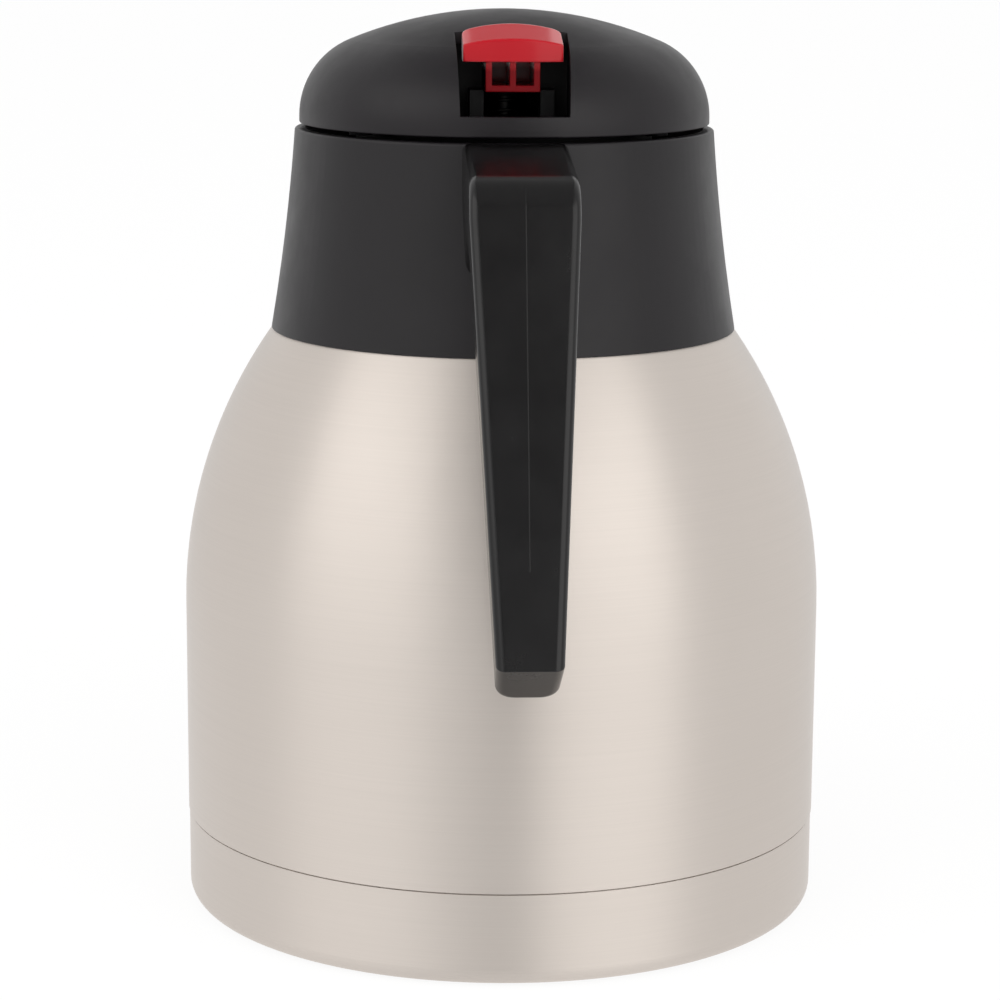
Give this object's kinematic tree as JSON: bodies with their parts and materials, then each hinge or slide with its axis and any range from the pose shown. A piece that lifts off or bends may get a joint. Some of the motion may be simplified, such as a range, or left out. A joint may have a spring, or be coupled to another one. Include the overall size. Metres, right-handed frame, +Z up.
{
  "type": "thermal carafe",
  "caption": "Steel vacuum carafe with a black collar, open-ended handle and screw-in dome lid whose red thumb lever opens a spring-loaded pouring valve.",
  "frame": {"origin": "centre of the base, on the surface the carafe stands on", "axes": "+Z up along the body's axis, -Y towards the handle, +Y towards the beak"},
  "size_m": [0.144, 0.1836, 0.2021],
  "materials": {
    "steel": "satin",
    "hardware": "bright",
    "black_matte": "fine matte",
    "black_gloss": "semi-gloss",
    "red_gloss": "gloss",
    "silicone": "satin",
    "pad_rubber": "matte"
  },
  "bodies": {
    "flask": {"outer_shell": "steel", "inner_flask": "steel", "shell_floor": "steel", "evacuation_seal": "steel", "getter": "steel", "base_cup": "steel", "base_pad": "pad_rubber", "collar": "black_matte", "collar_gasket": "silicone", "neck_ring": "black_matte", "neck_gasket": "silicone", "handle": "black_gloss", "handle_liner": "black_gloss", "handle_anchor": "hardware", "handle_screws": "hardware"},
    "lid_seal": {"stopper_gasket": "silicone"},
    "lid": {"lid_cover": "black_matte", "stopper_body": "black_matte", "lid_plate": "black_matte", "plate_seal": "silicone", "stopper_screws": "hardware", "cover_screws": "hardware", "lever_bay": "black_matte", "lever_pin": "hardware", "stem_gland": "silicone", "spring_washer": "hardware", "valve_spring": "hardware"},
    "lever": {"thumb_lever": "red_gloss"},
    "valve": {"valve_stem": "hardware", "valve_plug": "black_matte", "valve_seal": "silicone", "valve_screw": "hardware", "valve_cap": "black_matte"}
  },
  "joints": [
    {"name": "lid_lift", "type": "slide", "parent": "flask", "child": "lid_seal", "axis": [0, 0, 1], "range_m": [0, 0.06]},
    {"name": "lid_twist", "type": "hinge", "parent": "lid_seal", "child": "lid", "pos_m": [0, 0, 0.177], "axis": [0, 0, 1], "range_deg": [0, 1440]},
    {"name": "lever_press", "type": "hinge", "parent": "lid", "child": "lever", "pos_m": [0, 0.024, 0.18904], "axis": [1, 0, 0], "range_deg": [0, 5.5]},
    {"name": "valve_slide", "type": "slide", "parent": "lid", "child": "valve", "axis": [0, 0, -1], "range_m": [0, 0.0024], "stiffness_N_per_m": 500, "springref_m": -0.003, "deforming": ["valve_spring"]}
  ],
  "couplings": [
    {"joint": "lid_lift", "follows": "lid_twist", "m_per_rad": 0.0023873},
    {"joint": "lever_press", "follows": "valve_slide", "rad_per_m": 39.993}
  ]
}
